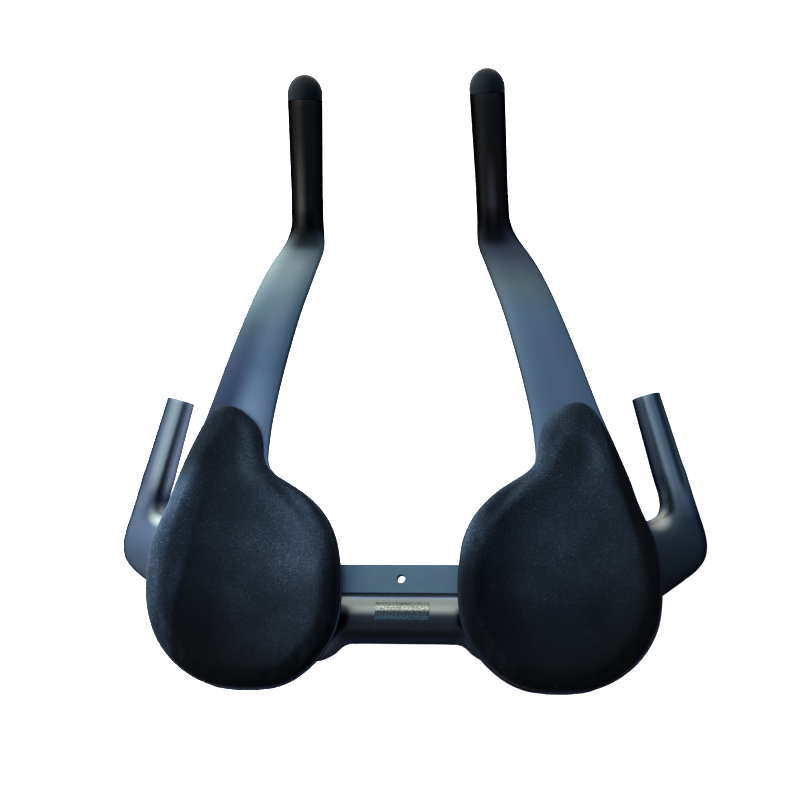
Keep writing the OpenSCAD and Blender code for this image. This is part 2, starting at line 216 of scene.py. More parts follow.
def base_bar():
    R = bar_rings()
    right = R[1:]
    left = [mirrored(r) for r in right][::-1]
    rings = left + [R[0]] + right
    V = np.concatenate(rings)
    # the rough clamping patch: fine grit standing on the round tube
    rs = np.random.RandomState(11)
    X, Y, Z = V[:, 0], V[:, 1], V[:, 2]
    ang = np.degrees(np.arctan2(Z, Y))
    rad = np.hypot(Y, Z)
    on = (np.abs(X) < 18.05) & (ang > 49) & (ang < 138.5) & (rad < 16.0)
    edge = np.minimum(smooth((18.3 - np.abs(X)) / 0.6), smooth((ang - 48) / 3) * smooth((139.5 - ang) / 3))
    grit = rs.uniform(0, 1, len(V)) ** 1.6
    d = np.where(on, edge * (0.03 + 0.17 * grit), 0)
    V[:, 1] += d * Y / np.maximum(rad, 1e-6)
    V[:, 2] += d * Z / np.maximum(rad, 1e-6)
    return make_object("base_bar_moulding", V, ring_faces(len(rings), BM), angle=50)


# ---------------------------------------------------------------- extensions
EXT = [
    [-48.6, 92, 108, 6.6, 1.2, 0.4, 3, 0],
    [-47.6, 83, 117, 5.9, 1.7, 1.1, 3.2, 0],
    [-45.5, 75.5, 124, 5, 2.1, 1.9, 3.6, 0],
    [-42, 68, 133, 4.1, 2.3, 2.7, 4, 0],
    [-37, 60.8, 141.6, 3.4, 2.45, 3.5, 4, 0],
    [-30, 53.2, 150.2, 2.9, 2.5, 4.2, 4, 0],
    [-20, 45.6, 158.2, 2.6, 2.5, 4.8, 4, 0],
    [-8, 40.2, 164, 2.5, 2.5, 5, 4, 0],
    [6, 37.8, 166.6, 2.5, 2.5, 5, 4, 0],
    [20, 37.4, 167, 2.5, 2.5, 5, 4, 0],
    [34, 38.6, 165.9, 2.5, 2.5, 5, 4, 0],
    [46, 40.8, 163.1, 2.5, 2.5, 5, 4, 0],
    [56, 44.8, 159.1, 2.5, 2.5, 4.6, 4, 0],
    [64, 49.8, 155.6, 2.45, 2.6, 4, 4, 0],
    [71, 56.2, 153, 2.3, 2.8, 3.3, 4, 0],
    [77, 63.6, 151.1, 2.1, 3, 2.7, 4, 0],
    [82, 71.4, 149.6, 1.9, 3.2, 2.2, 4, 0],
    [86, 78.2, 148.2, 1.7, 3.4, 1.8, 4, 0],
    [90, 83.6, 146.7, 1.4, 3.7, 1.4, 4, 0],
    [95, 87.2, 144.8, 1.1, 4, 1, 3.9, 0],
    [100, 88.3, 142.8, 0.8, 4.3, 0.7, 3.8, 0],
    [110, 87.8, 138.8, 0.4, 4.7, 0.2, 3.6, 0],
    [125, 85.9, 132.4, 0.25, 4.75, 0, 3.5, 0],
    [145, 81.8, 124.9, 0.25, 4.75, 0, 3.5, 0],
    [165, 76.9, 117.6, 0.25, 4.75, 0, 3.5, 1],
    [185, 71.4, 109.8, 0.25, 4.75, 0, 3.4, 2],
    [200, 66.7, 103.7, 0.25, 4.75, 0, 3.3, 4],
    [213, 62, 97.9, 0.25, 4.8, 0, 3.1, 6],
    [224, 57.9, 92.3, 0.3, 4.9, 0, 2.9, 9],
    [233, 54.3, 86.7, 0.6, 5.2, 0, 2.6, 13],
    [240, 51.9, 81.4, 1.5, 6.2, 0, 2.3, 19],
    [247, 51.4, 76.4, 4.4, 8, 0, 2.1, 26],
    [254, 51.5, 73.6, 7.9, 9.7, 0, 2, 31],
    [261, 51.3, 73, 11.3, 10.8, 0, 2, 33.7],
    [264, 51.2, 72.9, 12.75, 10.8, 0, 2, 33.7]]
EXT_D = unit([-0.0415, 1, 0.668])
EXT_P = np.array([62.06, 262, 89.35])
EXT_L = 72.0
SLOPE = 0.195
REF0 = 26.5
EM = 112


def ref(y):
    return REF0 + SLOPE * y


def section_angles(p, m):
    """Angles round a squared section, close together where it turns."""
    t = np.linspace(0, 2 * np.pi, 4001)
    x = -spow(np.cos(t), 2 / p) * 2.0
    h = spow(np.sin(t), 2 / p) * 1.15
    s = np.concatenate([[0], np.cumsum(np.hypot(np.diff(x), np.diff(h)))])
    return np.interp(np.arange(m) / m * s[-1], s, t)


def ext_ring(y):
    xi, xo, off, b, rise, p, q = [tab(EXT, y, k) for k in range(1, 8)]
    c, a, q = (xi + xo) / 2, (xo - xi) / 2, math.radians(q)
    t = section_angles(p, EM)
    x = -spow(np.cos(t), 2 / p)
    h = b * spow(np.sin(t), 2 / p) + rise * np.abs(x) ** 4
    return np.stack([c + a * x, y - h * math.sin(q), ref(y) + off + h * math.cos(q)], 1)


def ext_grip_frame():
    up0 = np.array([0, -math.sin(math.radians(33.7)), math.cos(math.radians(33.7))])
    up = unit(up0 - EXT_D * np.dot(up0, EXT_D))
    return np.cross(EXT_D, up), up


def ext_grip_ring(l, r, t):
    X, U = ext_grip_frame()
    c = EXT_P + EXT_D * l
    return c + np.outer(-np.cos(t), X) * r + np.outer(np.sin(t), U) * r


def extension_verts():
    R = []
    # the heel closes in a soft edge
    r0 = ext_ring(-48.6)
    c0 = r0.mean(0)
    R.append(c0 + (r0 - c0) * np.array([0.55, 1, 0.25]) + np.array([0, -0.22, 0]))
    R.append(c0 + (r0 - c0) * np.array([0.85, 1, 0.7]) + np.array([0, -0.12, 0]))
    R += [ext_ring(y) for y in stations((-48.6, -47, 0.4), (-47, -42, 0.7), (-42, -30, 1.5), (-30, 56, 4.0), (56, 76, 1.6),
                                        (76, 102, 1.2), (102, 180, 4.5), (180, 222, 2.8), (222, 262.5, 1.6))]
    t = section_angles(2.0, EM)
    L = EXT_L - 0.4
    cone = lambda l: 10.55 + (11.6 - 10.55) * (l + 0.4) / 72.4
    R += [ext_grip_ring(l, cone(l) + 0.25 * float(1 - smooth(l / 12)), t) for l in stations((2.2, 12, 2.0), (12, L - 0.5, 4.2))]
    R += [ext_grip_ring(l, r, t) for l, r in [(L - 0.3, 11.54), (L - 0.1, 11.42), (L, 11.22), (L, 10.3), (L, 9.35), (L - 0.3, 9.2), (L - 5, 9.2), (L - 18, 9.2)]]
    return R


def prism_verts(x0, x1, y0, y1, r, z0, z1, c=0.3, n=10):
    """Rounded plate in the frame of the cup floor, with small edge chamfers."""
    def outline(inset):
        P = []
        for cx, cy, a0 in [(x1 - r, y1 - r, 0), (x0 + r, y1 - r, 90), (x0 + r, y0 + r, 180), (x1 - r, y0 + r, 270)]:
            for i in range(n + 1):
                a = math.radians(a0 + 90 * i / n)
                P.append([cx + (r - inset) * math.cos(a), cy + (r - inset) * math.sin(a)])
        return np.array(P)
    rings = []
    for z, ins in [(z0, c), (z0 + c, 0), (z1 - c, 0), (z1, c)]:
        o = outline(ins)
        rings.append(np.column_stack([o, np.full(len(o), z)]))
    return rings


TILT = math.atan(SLOPE)


def from_floor(V):
    c, s = math.cos(TILT), math.sin(TILT)
    return np.stack([V[:, 0], 23.5 + V[:, 1] * c - V[:, 2] * s, ref(23.5) + V[:, 1] * s + V[:, 2] * c], 1)


def cylinder_cutter(name, x, y, spans, m=48):
    """Stepped round cutter, spans of (z, radius)."""
    t = np.arange(m) * 2 * np.pi / m
    rings = [np.stack([x + r * np.cos(t), y + r * np.sin(t), np.full(m, z)], 1) for z, r in spans]
    return make_object(name, np.concatenate(rings), ring_faces(len(rings), m))


def boolean(ob, other, how):
    m = ob.modifiers.new("b", "BOOLEAN")
    m.operation = how
    m.object = other
    m.solver = "EXACT"
    dg = bpy.context.evaluated_depsgraph_get()
    me = bpy.data.meshes.new_from_object(ob.evaluated_get(dg), depsgraph=dg)
    ob.modifiers.clear()
    old = ob.data
    if len(me.polygons) > 0.5 * len(old.polygons):
        ob.data = me
        bpy.data.meshes.remove(old)
    bpy.data.objects.remove(other)


def reshade(ob, angle):
    bm = bmesh.new()
    bm.from_mesh(ob.data)
    bmesh.ops.recalc_face_normals(bm, faces=bm.faces)
    lim = math.radians(angle)
    for f in bm.faces:
        f.smooth = True
    for e in bm.edges:
        e.smooth = not (len(e.link_faces) == 2 and e.calc_face_angle(0) > lim)
    bm.to_mesh(ob.data)
    bm.free()


def extension(side):
    R = extension_verts()
    V = np.concatenate(R)
    if side == "left":
        V = mirrored(V)
    ob = make_object(side + "_extension_moulding", V, ring_faces(len(R), EM))
    P = prism_verts(63, 111, -12, 11, 8, -0.2, 3.2)
    W = from_floor(np.concatenate(P))
    sx = 1
    if side == "left":
        W = mirrored(W)
        sx = -1
    boss = make_object("cut", W, ring_faces(len(P), len(P[0])))
    boolean(ob, boss, "UNION")
    for x in (75, 99):
        boolean(ob, cylinder_cutter("cut", sx * x, 23.5, [(10, 2.75), (32.9, 2.75), (32.9, 5.4), (52, 5.4)]), "DIFFERENCE")
    reshade(ob, 40)
    return ob


def end_plug(side):
    m = 96
    t = np.arange(m) * 2 * np.pi / m
    k = 9.15
    prof = [(-16, k - 1.5), (-15.6, k - 1.1), (-14, k), (-0.02, k), (-0.02, 9.4), (0.02, 11.2), (0.12, 11.42), (0.32, 11.55), (0.7, 11.6), (3, 11.6)]
    prof += [(3 + 13 * math.sin(math.radians(a)), 11.6 * math.cos(math.radians(a))) for a in list(range(4, 88, 4)) + [88.6]]
    base = EXT_P + EXT_D * (EXT_L - 0.4)
    X, U = ext_grip_frame()
    rings = [base + EXT_D * l + np.outer(np.cos(t), X) * r + np.outer(np.sin(t), U) * r for l, r in prof]
    V = np.concatenate(rings)
    if side == "left":
        V = mirrored(V)
    return make_object(side + "_end_plug_cap", V, ring_faces(len(rings), m), angle=38)


# ---------------------------------------------------------------- arm pads
PAD = [
    [-47, 93, 106], [-46.2, 84, 115.5], [-44.4, 76, 124.8], [-41, 68.6, 133], [-36, 61.4, 141],
    [-29, 54, 148.9], [-19, 46.8, 156.8], [-7, 41.6, 162.6], [6, 39.1, 165.3], [20, 38.7, 165.7],
    [34, 39.9, 164.5], [46, 42.2, 161.7], [56, 46.2, 157.7], [64, 51.2, 154.2], [71, 57.6, 151.6],
    [77, 64.9, 149.6], [82, 72.6, 148], [86, 79.4, 146.5], [90, 84.8, 144.9], [95, 88.4, 143],
    [100, 89.6, 140.9], [108, 90, 137.2], [114, 91.2, 134.2], [120, 94.4, 131], [126, 100.4, 127.2],
    [130.4, 106.6, 123], [132.6, 112.2, 118.6]]
HOOK_T = 1.5


def pad_outline(n):
    """Closed plan outline of the pad, n points evenly along it, counter-clockwise."""
    P = [[r[2], r[0]] for r in PAD] + [[r[1], r[0]] for r in PAD[::-1]]
    P = np.array(P, float)
    m = len(P)
    dense = []
    for i in range(m):
        p0, p1, p2, p3 = P[(i - 1) % m], P[i], P[(i + 1) % m], P[(i + 2) % m]
        d0, d1, d2 = [max(np.linalg.norm(b - a), 1e-6) ** 0.5 for a, b in ((p0, p1), (p1, p2), (p2, p3))]
        m1 = (p1 - p0) / d0 - (p2 - p0) / (d0 + d1) + (p2 - p1) / d1
        m2 = (p2 - p1) / d1 - (p3 - p1) / (d1 + d2) + (p3 - p2) / d2
        m1, m2 = m1 * d1, m2 * d1
        for t in np.linspace(0, 1, 24, endpoint=False):
            dense.append((2 * t ** 3 - 3 * t * t + 1) * p1 + (t ** 3 - 2 * t * t + t) * m1 + (-2 * t ** 3 + 3 * t * t) * p2 + (t ** 3 - t * t) * m2)
    D = np.array(dense)

    def even(Q, k):
        L = np.concatenate([[0], np.cumsum(np.linalg.norm(np.diff(np.vstack([Q, Q[:1]]), axis=0), axis=1))])
        s = np.arange(k) / k * L[-1]
        Q = np.vstack([Q, Q[:1]])
        return np.stack([np.interp(s, L, Q[:, 0]), np.interp(s, L, Q[:, 1])], 1)
    D = even(D, 1200)
    for _ in range(110):
        D = (np.roll(D, 1, 0) + 2 * D + np.roll(D, -1, 0)) / 4
    return even(D, n)


def inset(P, e):
    """Outline moved inwards by e."""
    T = np.roll(P, -1, 0) - np.roll(P, 1, 0)
    T /= np.linalg.norm(T, axis=1)[:, None]
    N = np.stack([-T[:, 1], T[:, 0]], 1)
    return P + N * e


def pad_base(X, Y):
    """Height of the pad's underside over a plan point: the cup's dished floor plus the hook patch."""
    out = np.zeros(len(X))
    for i in range(len(X)):
        y = min(max(Y[i], -48.6), 140)
        xi, xo = tab(EXT, y, 1), tab(EXT, y, 2)
        cc, ca = (xi + xo) / 2, (xo - xi) / 2
        out[i] = ref(Y[i]) + tab(EXT, y, 3) + tab(EXT, y, 4) + HOOK_T + tab(EXT, y, 5) * min(1.0, abs(X[i] - cc) / ca) ** 4
    return out


PAD_RIM, PAD_SIDE, PAD_TOP, PAD_DISH = 9.6, 3.2, 11.4, 4.6


def pad_height(e):
    """Height of the top over the underside, e in from the outline."""
    k = np.clip(e / PAD_RIM, 0, 1)
    h = PAD_SIDE + (PAD_TOP - PAD_SIDE) * np.sqrt(np.maximum(0, 1 - (1 - k) ** 2.1))
    return h - PAD_DISH * smooth((e - PAD_RIM + 1.5) / 25)


def arm_pad(side):
    n = 240
    O = pad_outline(n)
    tops = [0.0, 0.12, 0.4, 0.9, 1.7, 2.8, 4.2, 5.8, 7.6, 9.4]
    unders = [(0.1, 2.5), (0.35, 1.6), (0.8, 0.8), (1.6, 0.25), (3.0, 0.0), (6.0, 0.0), (9.4, 0.0)]
    V, F = [], []
    ring_at = []
    for e, h in unders[::-1]:
        Q = inset(O, e)
        z = pad_base(Q[:, 0], Q[:, 1]) + h
        ring_at.append((Q, z))
    for e in tops:
        Q = inset(O, e)
        z = pad_base(Q[:, 0], Q[:, 1]) + float(pad_height(np.array([e]))[0])
        ring_at.append((Q, z))
    for Q, z in ring_at:
        V.append(np.column_stack([Q, z]))
    nr = len(ring_at)
    F += ring_faces(nr, n, 0, False, False)
    # inner area: even points, triangulated inside the innermost ring
    Q = ring_at[-1][0]
    sp = 3.0
    pts = []
    lo, hi = Q.min(0), Q.max(0)
    rows = int((hi[1] - lo[1]) / (sp * 0.866)) + 2
    cols = int((hi[0] - lo[0]) / sp) + 2
    nx = np.roll(Q, -1, 0)
    for r in range(rows):
        y = lo[1] + r * sp * 0.866
        for c in range(cols):
            x = lo[0] + (c + 0.5 * (r % 2)) * sp
            cross = ((Q[:, 1] > y) != (nx[:, 1] > y)) & (x < (nx[:, 0] - Q[:, 0]) * (y - Q[:, 1]) / np.where(nx[:, 1] == Q[:, 1], 1e-9, nx[:, 1] - Q[:, 1]) + Q[:, 0])
            if cross.sum() % 2 and np.hypot(Q[:, 0] - x, Q[:, 1] - y).min() > sp * 0.62:
                pts.append([x, y])
    pts = np.array(pts)
    allp = np.vstack([Q, pts])
    edges = [(i, (i + 1) % n) for i in range(n)]
    co, _, tri, orig, _, _ = delaunay_2d_cdt([Vector(p) for p in allp], edges, [], 1, 1e-6)
    index = {}
    for k, o in enumerate(orig):
        index[k] = o[0]
    tri = [[index[a] for a in t] for t in tri]
    dist = np.array([np.hypot(O[:, 0] - p[0], O[:, 1] - p[1]).min() for p in pts])
    base = pad_base(pts[:, 0], pts[:, 1])
    top_h = pad_height(dist)
    # even out the dish where the distances from two sides meet
    m = len(pts)
    nb = [set() for _ in range(len(allp))]
    for t in tri:
        for a in range(3):
            nb[t[a]].update((t[(a + 1) % 3], t[(a + 2) % 3]))
    z = np.concatenate([ring_at[-1][1], base + top_h])
    for _ in range(26):
        z2 = z.copy()
        for i in range(n, len(allp)):
            z2[i] = 0.4 * z[i] + 0.6 * np.mean([z[j] for j in nb[i]])
        z = z2
    first_top = nr * n
    V.append(np.column_stack([pts, z[n:]]))
    V.append(np.column_stack([pts, base]))
    first_bottom = first_top + m
    last = (nr - 1) * n
    for t in tri:
        F.append([last + a if a < n else first_top + a - n for a in t])
        F.append([a if a < n else first_bottom + a - n for a in t][::-1])
    V = np.concatenate(V)
    if side == "left":
        V = mirrored(V)
    ob = make_object(side + "_arm_pad_cover", V, F)
    # the cover swells under its foam: the top is free, the underside is held
    free = np.zeros(len(V), bool)
    free[(len(unders) + 2) * n:first_bottom] = True
    puff(ob, free, 0.0012)
    sub = ob.modifiers.new("smooth", "SUBSURF")
    sub.levels = sub.render_levels = 1
    apply_all(ob)
    for p in ob.data.polygons:
        p.use_smooth = True
    return ob


def apply_all(ob):
    dg = bpy.context.evaluated_depsgraph_get()
    me = bpy.data.meshes.new_from_object(ob.evaluated_get(dg), depsgraph=dg)
    ob.modifiers.clear()
    old = ob.data
    ob.data = me
    bpy.data.meshes.remove(old)


def puff(ob, free, cap):
    """Short cloth run with pressure, held where free is False and capped."""
    rest = np.array([v.co for v in ob.data.vertices], float)
    pin = ob.vertex_groups.new(name="pin")
    pin.add([int(i) for i in np.nonzero(~free)[0]], 1.0, "REPLACE")
    mod = ob.modifiers.new("cloth", "CLOTH")
    st = mod.settings
    st.quality = 5
    st.mass = 0.3
    st.tension_stiffness = st.compression_stiffness = 20
    st.shear_stiffness = 10
    st.bending_stiffness = 0.8
    st.use_pressure = True
    st.uniform_pressure_force = 4
    st.effector_weights.gravity = 0
    st.vertex_group_mass = "pin"
    st.pin_stiffness = 5
    mod.collision_settings.use_collision = False
    mod.collision_settings.use_self_collision = False
    mod.point_cache.frame_start, mod.point_cache.frame_end = 1, 20
    for f in range(1, 21):
        SCENE.frame_set(f)
    dg = bpy.context.evaluated_depsgraph_get()
    ev = ob.evaluated_get(dg)
    now = np.array([v.co for v in ev.data.vertices], float)
    ob.modifiers.clear()
    SCENE.frame_set(1)
    d = now - rest
    d[~np.isfinite(d).all(axis=1)] = 0
    size = np.linalg.norm(d, axis=1)
    d *= np.minimum(1.0, cap / np.maximum(size, 1e-9))[:, None]
    d[~free] = 0
    ob.data.vertices.foreach_set("co", (rest + d).astype(np.float32).ravel())
    ob.vertex_groups.clear()
    ob.data.update()


# ---------------------------------------------------------------- materials
def material(name):
    m = bpy.data.materials.new(name)
    m.use_nodes = True
    nt = m.node_tree
    for nd in list(nt.nodes):
        nt.nodes.remove(nd)
    out = nt.nodes.new("ShaderNodeOutputMaterial")
    bs = nt.nodes.new("ShaderNodeBsdfPrincipled")
    nt.links.new(bs.outputs[0], out.inputs[0])
    co = nt.nodes.new("ShaderNodeTexCoord")
    return m, nt, bs, co


def noise(nt, vec, scale, detail=2, rough=0.5):
    n = nt.nodes.new("ShaderNodeTexNoise")
    n.inputs["Scale"].default_value = scale
    n.inputs["Detail"].default_value = detail
    n.inputs["Roughness"].default_value = rough
    nt.links.new(vec, n.inputs["Vector"])
    return n.outputs["Fac"]


def ramp(nt, fac, stops):
    r = nt.nodes.new("ShaderNodeValToRGB")
    el = r.color_ramp.elements
    while len(el) < len(stops):
        el.new(0.5)
    for e, (p, c) in zip(el, stops):
        e.position = p
        e.color = (*c, 1) if len(c) == 3 else c
    nt.links.new(fac, r.inputs["Fac"])
    return r.outputs["Color"]


def math_node(nt, op, a, b=None, c=None, clamp=False):
    m = nt.nodes.new("ShaderNodeMath")
    m.operation = op
    m.use_clamp = clamp
    for i, v in enumerate((a, b, c)):
        if v is None:
            continue
        if isinstance(v, (int, float)):
            m.inputs[i].default_value = v
        else:
            nt.links.new(v, m.inputs[i])
    return m.outputs[0]


def map_range(nt, v, a, b, c, d):
    m = nt.nodes.new("ShaderNodeMapRange")
    m.inputs["From Min"].default_value = a
    m.inputs["From Max"].default_value = b
    m.inputs["To Min"].default_value = c
    m.inputs["To Max"].default_value = d
    m.interpolation_type = "SMOOTHSTEP"
    nt.links.new(v, m.inputs["Value"])
    return m.outputs[0]


def bump(nt, bs, height, strength, distance):
    b = nt.nodes.new("ShaderNodeBump")
    b.inputs["Strength"].default_value = strength
    b.inputs["Distance"].default_value = distance
    nt.links.new(height, b.inputs["Height"])
    nt.links.new(b.outputs[0], bs.inputs["Normal"])


def mix(nt, fac, a, b, how="MIX"):
    m = nt.nodes.new("ShaderNodeMix")
    m.data_type = "RGBA"
    m.blend_type = how
    for v, k in ((fac, 0), (a, 6), (b, 7)):
        if isinstance(v, (int, float)):
            m.inputs[k].default_value = v
        elif isinstance(v, tuple):
            m.inputs[k].default_value = (*v, 1)
        else:
            nt.links.new(v, m.inputs[k])
    return m.outputs[2]


def satin_carbon(name, dark, light, rough, bar=False):
    """Satin painted carbon: fine mottling, soft roughness changes, a faint orange peel, and painted light and shade in
    the colour of the blades, grips and bar.
    """
    m, nt, bs, co = material(name)
    v = co.outputs["Object"]
    big = noise(nt, v, 14, 2)
    fine = noise(nt, v, 900, 3, 0.6)
    mott = math_node(nt, "ADD", math_node(nt, "MULTIPLY", big, 0.6), math_node(nt, "MULTIPLY", fine, 0.4))
    col = ramp(nt, mott, [(0.3, dark), (0.7, light)])
    r = map_range(nt, math_node(nt, "ADD", math_node(nt, "MULTIPLY", noise(nt, v, 60, 3), 0.6), math_node(nt, "MULTIPLY", fine, 0.4)), 0.3, 0.7, rough - 0.035, rough + 0.035)
    h = math_node(nt, "ADD", math_node(nt, "MULTIPLY", noise(nt, v, 260, 2), 0.7), math_node(nt, "MULTIPLY", noise(nt, v, 1600, 2), 0.3))
    s = nt.nodes.new("ShaderNodeSeparateXYZ")
    nt.links.new(v, s.inputs[0])
    if not bar:
        # painted light on the blade: its colour grows lighter and warmer towards the knee and is lighter along one
        # edge than the other, as the light falls on it
        x, y = s.outputs[0], s.outputs[1]
        along = math_node(nt, "MULTIPLY", math_node(nt, "SUBTRACT", y, 0.12), 1 / 0.12, clamp=True)
        across = math_node(nt, "SUBTRACT", x, math_node(nt, "MULTIPLY_ADD", y, 0.285, -0.1469))
        outer = ramp(nt, along, [(0.08, (0.15, 0.15, 0.21)), (0.33, (0.20, 0.20, 0.275)), (0.55, (0.275, 0.29, 0.30)), (0.72, (0.625, 0.625, 0.54)), (0.88, (1.0, 0.875, 0.675))])
        inner = ramp(nt, along, [(0.08, (0.69, 0.72, 0.81)), (0.33, (0.40, 0.44, 0.52)), (0.55, (0.45, 0.47, 0.49)), (0.72, (0.625, 0.625, 0.54)), (0.88, (1.0, 0.875, 0.675))])
        other = ramp(nt, along, [(0.0, (0.39, 0.43, 0.50)), (0.6, (0.42, 0.46, 0.49)), (0.75, (0.5, 0.456, 0.39)), (0.93, (0.27, 0.23, 0.23))])
        blade_painted_light = mix(nt, map_range(nt, across, -0.008, 0.008, 0, 1), outer, inner)
        blade_painted_light = mix(nt, math_node(nt, "GREATER_THAN", x, 0.0), blade_painted_light, other)
        # painted shade: the cup is darkened where it runs under the pad's edge
        blade_painted_light = mix(nt, map_range(nt, y, 0.078, 0.095, 0, 1), mix(nt, 1.0, blade_painted_light, (0.22, 0.20, 0.20), "MULTIPLY"), blade_painted_light)
        col = mix(nt, 1.0, col, blade_painted_light, "MULTIPLY")
        # painted shade: the round grips are painted near black where the bend turns them away from the light
        wob = math_node(nt, "ADD", y, math_node(nt, "MULTIPLY", math_node(nt, "SUBTRACT", noise(nt, v, 60, 2), 0.5), 0.004))
        grip = map_range(nt, wob, 0.236, 0.250, 0, 1)
        col = mix(nt, grip, col, mix(nt, fine, (0.006, 0.006, 0.0064), (0.012, 0.012, 0.0122)))
        # painted highlight: a light streak along each round grip
        line = math_node(nt, "ADD", math_node(nt, "SUBTRACT", x, math_node(nt, "MULTIPLY_ADD", y, 0.0415, -0.07293)), 0.0018)
        grip_painted_highlight = math_node(nt, "MULTIPLY", map_range(nt, math_node(nt, "ABSOLUTE", line), 0.0040, 0.0005, 0, 1), grip)
        grip_painted_highlight = math_node(nt, "MULTIPLY", grip_painted_highlight, map_range(nt, y, 0.305, 0.258, 0.14, 1.0))
        col = mix(nt, grip_painted_highlight, col, (0.050, 0.048, 0.042))
        line = math_node(nt, "SUBTRACT", x, math_node(nt, "MULTIPLY_ADD", y, -0.0415, 0.07293))
        grip_painted_highlight = math_node(nt, "MULTIPLY", map_range(nt, math_node(nt, "ABSOLUTE", line), 0.0036, 0.0006, 0, 1), grip)
        grip_painted_highlight = math_node(nt, "MULTIPLY", grip_painted_highlight, map_range(nt, y, 0.290, 0.262, 0, 1))
        col = mix(nt, grip_painted_highlight, col, (0.034, 0.033, 0.036))
        r = math_node(nt, "ADD", r, math_node(nt, "MULTIPLY", grip, -0.05))
    if bar:
        x, y = s.outputs[0], s.outputs[1]
        # painted light: the left wing and grip are much lighter than the right, both growing lighter towards the grips
        along = math_node(nt, "MULTIPLY", y, 1 / 0.12, clamp=True)
        left = ramp(nt, along, [(0.25, (0.46, 0.50, 0.53)), (0.48, (0.49, 0.57, 0.72)), (0.66, (0.56, 0.60, 0.76)), (0.85, (0.95, 0.96, 0.90))])
        right = ramp(nt, along, [(0.25, (0.075, 0.085, 0.08)), (0.48, (0.12, 0.135, 0.145)), (0.60, (0.17, 0.19, 0.21)), (0.78, (0.72, 0.80, 0.82)), (1.0, (0.58, 0.64, 0.68))])
        # across the round grip, inboard positive
        e = unit(np.array([-22.6, -6.0, 0.0]) - BAR_D * np.dot([-22.6, -6.0, 0.0], BAR_D))
        ax = math_node(nt, "ABSOLUTE", x)
        across = math_node(nt, "MULTIPLY", ax, float(e[0]))
        across = math_node(nt, "ADD", across, math_node(nt, "MULTIPLY", y, float(e[1])))
        across = math_node(nt, "ADD", across, math_node(nt, "MULTIPLY", s.outputs[2], float(e[2])))
        across = math_node(nt, "SUBTRACT", across, float(np.dot(BAR_P, e)) * MM)
        on_grip = map_range(nt, y, 0.086, 0.100, 0, 1)
        def painted_streak(base, c, *edges):
            """Lay painted reflection colour c over base between the edges given across the grip."""
            f = on_grip
            for lo, hi in edges:
                f = math_node(nt, "MULTIPLY", f, map_range(nt, across, lo, hi, 0, 1))
            return mix(nt, f, base, c)

        # painted reflections: light and dark streaks along each round grip
        left = painted_streak(left, (0.45, 0.50, 0.60), (-0.0012, -0.0045))
        left = painted_streak(left, (2.3, 2.2, 1.9), (-0.0015, 0.0035), (0.0062, 0.0045))
        left = painted_streak(left, (5.0, 4.2, 3.6), (0.0068, 0.0098))
        right = painted_streak(right, (0.82, 0.86, 0.86), (-0.0018, 0.0010), (0.0045, 0.0025))
        right = painted_streak(right, (0.31, 0.36, 0.44), (0.0050, 0.0072))
        right = painted_streak(right, (0.20, 0.23, 0.28), (-0.0022, -0.0045))
        right = painted_streak(right, (0.85, 1.0, 0.70), (-0.0062, -0.0080))
        # painted highlight: a pale spot in the inner corner where the grip meets the wing
        for sign, px, py, r0, r1, c in ((-1, -0.1784, 0.0756, 0.003, 0.011, (4.0, 3.6, 2.6)), (1, 0.1737, 0.0719, 0.002, 0.011, (1.4, 1.15, 0.85))):
            d = math_node(nt, "SQRT", math_node(nt, "ADD", math_node(nt, "POWER", math_node(nt, "SUBTRACT", x, px), 2.0), math_node(nt, "POWER", math_node(nt, "SUBTRACT", y, py), 2.0)))
            near = map_range(nt, d, r0, r1, 1, 0)
            if sign < 0:
                left = mix(nt, near, left, c)
            else:
                right = mix(nt, near, right, c)
        col = mix(nt, 1.0, col, mix(nt, map_range(nt, x, -0.1, 0.1, 0, 1), left, right), "MULTIPLY")
        # the round clamping section is given a darker finish than the wings, with painted shade on its top and rear
        # and a painted bluish reflection on its underside
        ax = math_node(nt, "ABSOLUTE", s.outputs[0])
        an = math_node(nt, "ARCTAN2", s.outputs[2], s.outputs[1])
        mid = map_range(nt, ax, 0.045, 0.075, 1, 0)
        # painted shade: the top and rear of the round tube are painted near black
        rear = math_node(nt, "MULTIPLY", map_range(nt, an, math.radians(66), math.radians(90), 0, 1), mid)
        col = mix(nt, mid, col, (0.13, 0.14, 0.135))
        col = mix(nt, rear, col, (0.012, 0.0145, 0.019))
        # painted reflection: a dark band under the front, turning bluish further under the tube
        under = math_node(nt, "MULTIPLY", map_range(nt, an, math.radians(104), math.radians(124), 0, 1), mid)
        col = mix(nt, under, col, mix(nt, map_range(nt, an, math.radians(124), math.radians(165), 0, 1), (0.035, 0.036, 0.040), (0.13, 0.15, 0.19)))
        # coarse grit of the clamping patch on the middle of the round tube; its colour carries painted highlight and
        # shade, light on the upper front of the tube and dark over its top
        inx = map_range(nt, ax, 0.0178, 0.0182, 1, 0)
        lo = map_range(nt, an, math.radians(48.5), math.radians(50), 0, 1)
        hi = map_range(nt, an, math.radians(95), math.radians(96.5), 1, 0)
        on = math_node(nt, "MULTIPLY", inx, math_node(nt, "MULTIPLY", lo, hi))
        vo = nt.nodes.new("ShaderNodeTexVoronoi")
        vo.inputs["Scale"].default_value = 1600
        nt.links.new(v, vo.inputs["Vector"])
        speck = ramp(nt, noise(nt, v, 1500, 3, 0.75), [(0.42, (0.15, 0.15, 0.16)), (0.50, (0.65, 0.65, 0.67)), (0.60, (1.5, 1.5, 1.45))])
